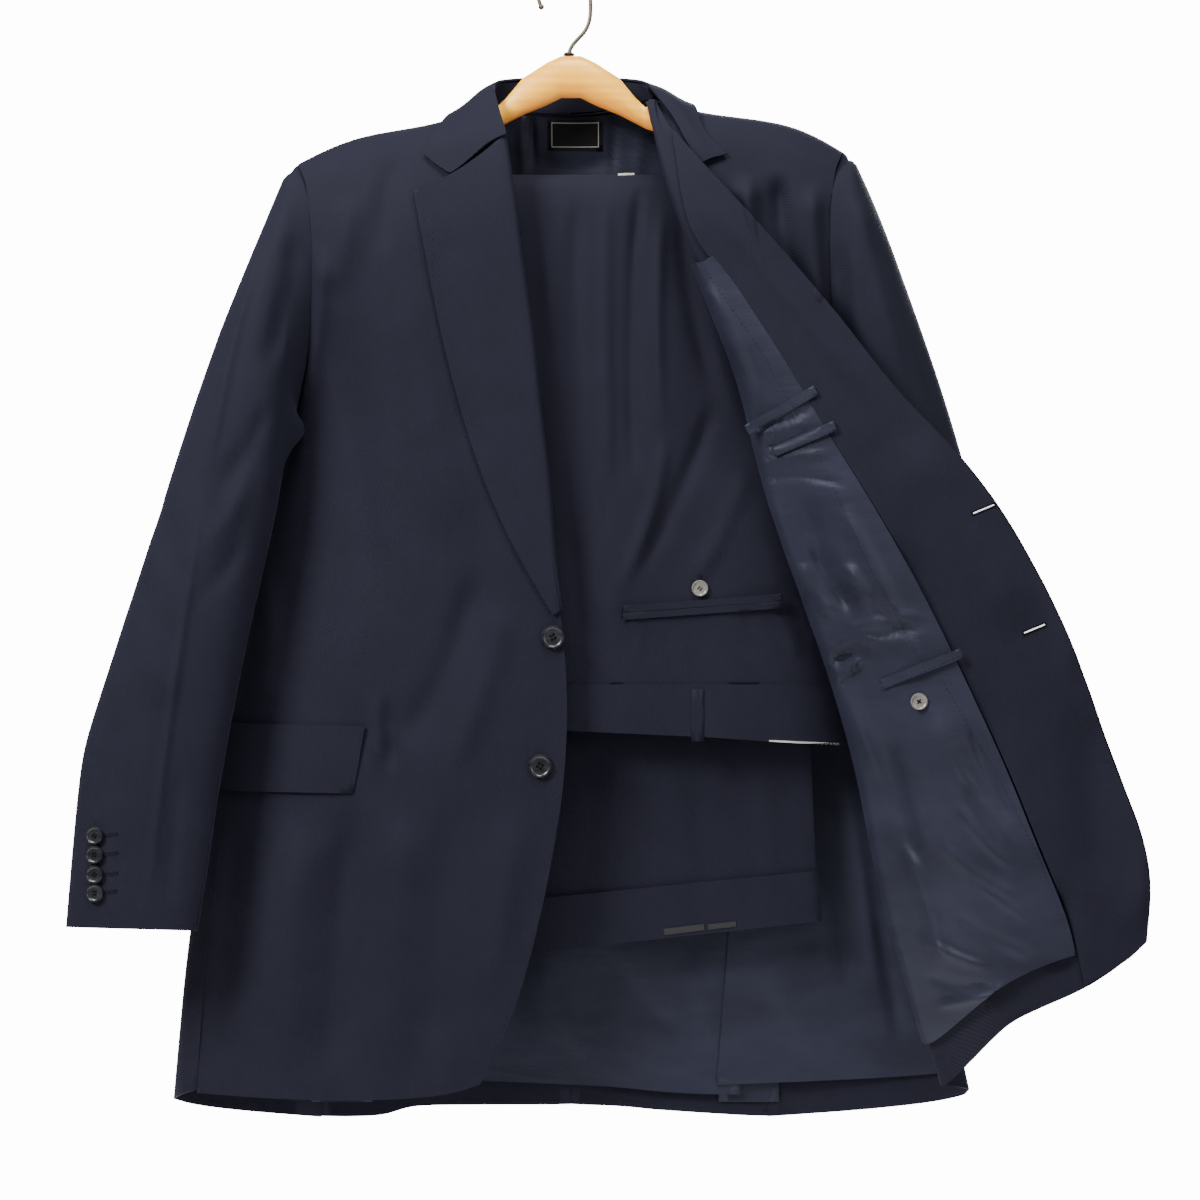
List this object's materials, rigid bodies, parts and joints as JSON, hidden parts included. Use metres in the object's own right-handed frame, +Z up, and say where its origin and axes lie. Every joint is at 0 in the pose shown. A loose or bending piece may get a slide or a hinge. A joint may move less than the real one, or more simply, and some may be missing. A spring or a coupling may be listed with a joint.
{
  "type": "two-piece suit on a wooden hanger",
  "caption": "Dark navy single-breasted suit jacket with one front opened back, over matching trousers folded on the bar of a wooden hanger.",
  "frame": {"origin": "inner top of the hanger's hook, where a rod carries it", "axes": "+Z up, the jacket's front faces -Y, +X to the viewer's right"},
  "size_m": [0.8705, 0.1391, 0.9652],
  "materials": {
    "wool": "matt worsted",
    "lining": "soft twill sheen",
    "beech": "satin varnish",
    "steel": "polished wire",
    "dark_button": "satin horn",
    "pearl_button": "pearl",
    "label": "woven satin",
    "pale_lining": "plain cotton"
  },
  "bodies": {
    "root": {"back_left": "wool", "back_pocket_lower": "wool", "back_pocket_upper": "wool", "back_right": "wool", "belt_loop": "wool", "collar_leaf": "wool", "collar_stand": "wool", "cuff_button_left_1": "dark_button", "cuff_button_left_2": "dark_button", "cuff_button_left_3": "dark_button", "cuff_button_left_4": "dark_button", "cuff_button_right_1": "dark_button", "cuff_button_right_2": "dark_button", "cuff_button_right_3": "dark_button", "cuff_button_right_4": "dark_button", "facing_right": "wool", "flap_left": "wool", "forepart_left": "wool", "forepart_right": "wool", "front_button_1": "dark_button", "front_button_2": "dark_button", "hanger_bar": "beech", "hanger_hook": "steel", "hanger_wood": "beech", "inner_button": "pearl_button", "label": "label", "lapel_left": "wool", "lapel_right": "wool", "lining_back": "lining", "lining_front_right": "lining", "lining_side_right": "lining", "pocket_jet_chest": "lining", "pocket_jet_lower": "lining", "pocket_jet_pen": "lining", "seat_button": "pearl_button", "side_left": "wool", "side_right": "wool", "top_sleeve_left": "wool", "top_sleeve_right": "wool", "trouser_leg_far": "wool", "trouser_leg_near": "wool", "turn_up_far": "wool", "turn_up_near": "wool", "under_sleeve_left": "wool", "under_sleeve_right": "wool", "vent_underlay_left": "wool", "vent_underlay_right": "wool", "waistband": "wool", "waistband_lining": "pale_lining"}
  },
  "joints": []
}
